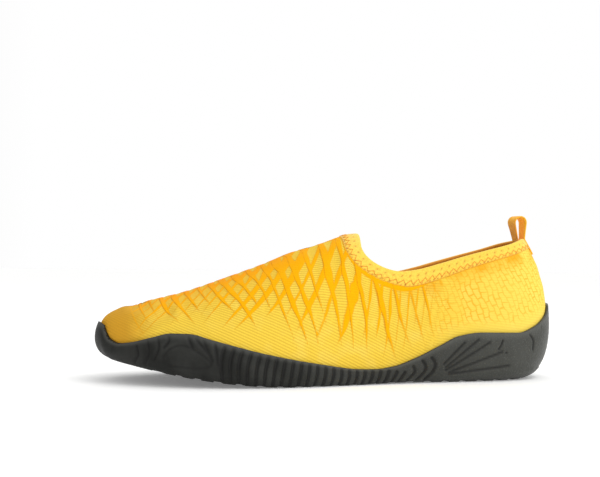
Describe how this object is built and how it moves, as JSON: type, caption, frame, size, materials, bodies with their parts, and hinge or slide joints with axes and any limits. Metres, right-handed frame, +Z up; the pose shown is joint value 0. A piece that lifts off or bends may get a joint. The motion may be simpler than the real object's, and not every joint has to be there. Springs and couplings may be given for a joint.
{
  "type": "water shoe",
  "caption": "Low knit slip-on water shoe with a folded collar band, heel pull loop and wave-edged ribbed rubber cup sole.",
  "frame": {"origin": "on the floor, in the middle of the flat under the heel", "axes": "+X towards the toe, +Y towards the outer (lateral) side of this left shoe, +Z up"},
  "size_m": [0.2749, 0.0977, 0.0984],
  "materials": {
    "rubber_sole": "matt charcoal moulded rubber",
    "insole_foam": "matt dark foam",
    "knit_upper": "pale yellow ribbed knit with orange-yellow bands",
    "knit_binding": "folded stitched fabric band",
    "ribbon": "woven ribbon"
  },
  "bodies": {
    "root": {"outsole": "rubber_sole", "insole": "insole_foam", "upper": "knit_upper", "collar_binding": "knit_binding", "pull_loop": "ribbon"}
  },
  "joints": []
}
